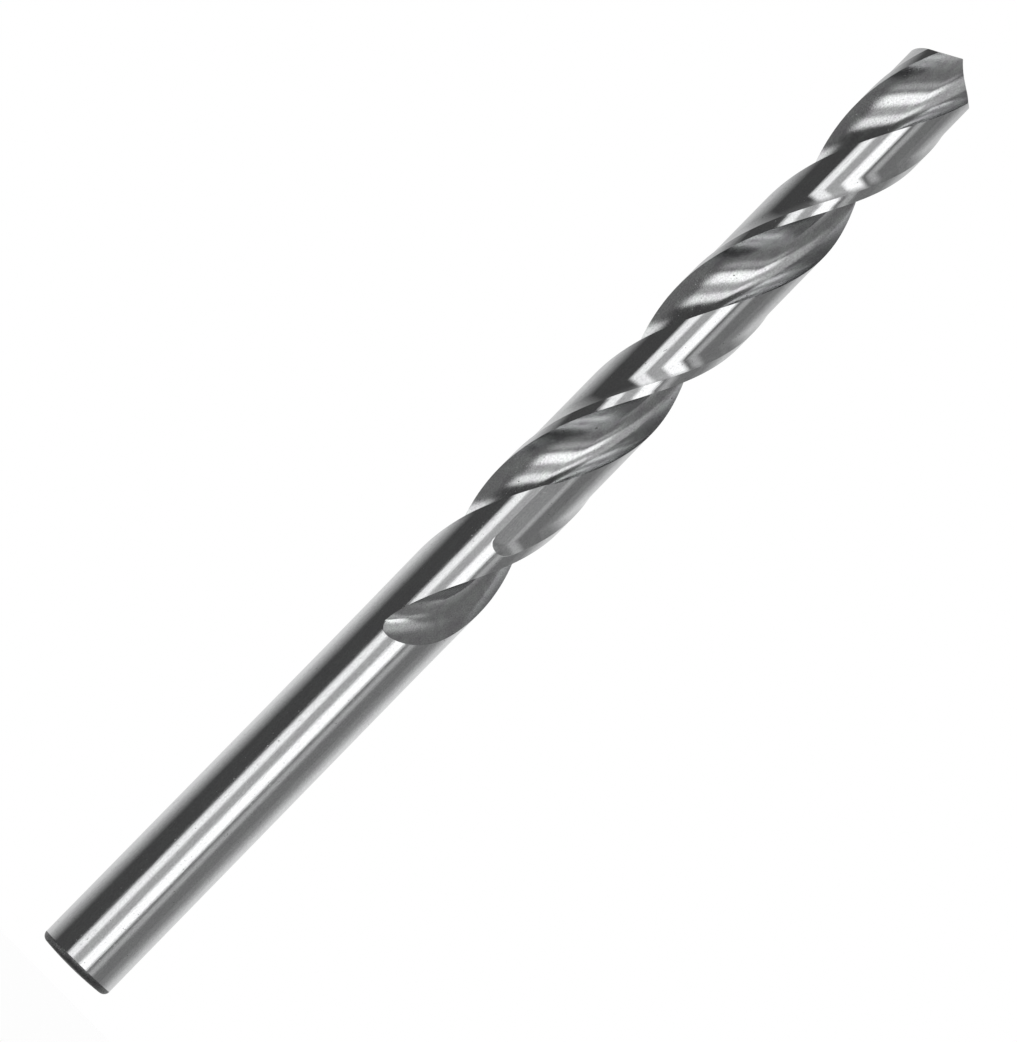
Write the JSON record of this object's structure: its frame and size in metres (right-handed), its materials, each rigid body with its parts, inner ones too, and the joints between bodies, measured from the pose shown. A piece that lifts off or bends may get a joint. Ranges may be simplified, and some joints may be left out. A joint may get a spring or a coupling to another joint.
{
  "type": "twist drill bit",
  "caption": "Right-hand twist drill with a plain parallel shank, helical flutes that run out into the shank, relieved lands with margins, and a conically ground point.",
  "frame": {"origin": "centre of the domed shank end, at its lowest point", "axes": "+Z along the drill's axis towards the point, +X through the outer corner of the first lip"},
  "size_m": [0.008, 0.008, 0.117],
  "materials": {
    "ground_steel": "bright ground high-speed steel with a fine grain along the tool"
  },
  "bodies": {
    "root": {"twist_drill": "ground_steel"}
  },
  "joints": []
}
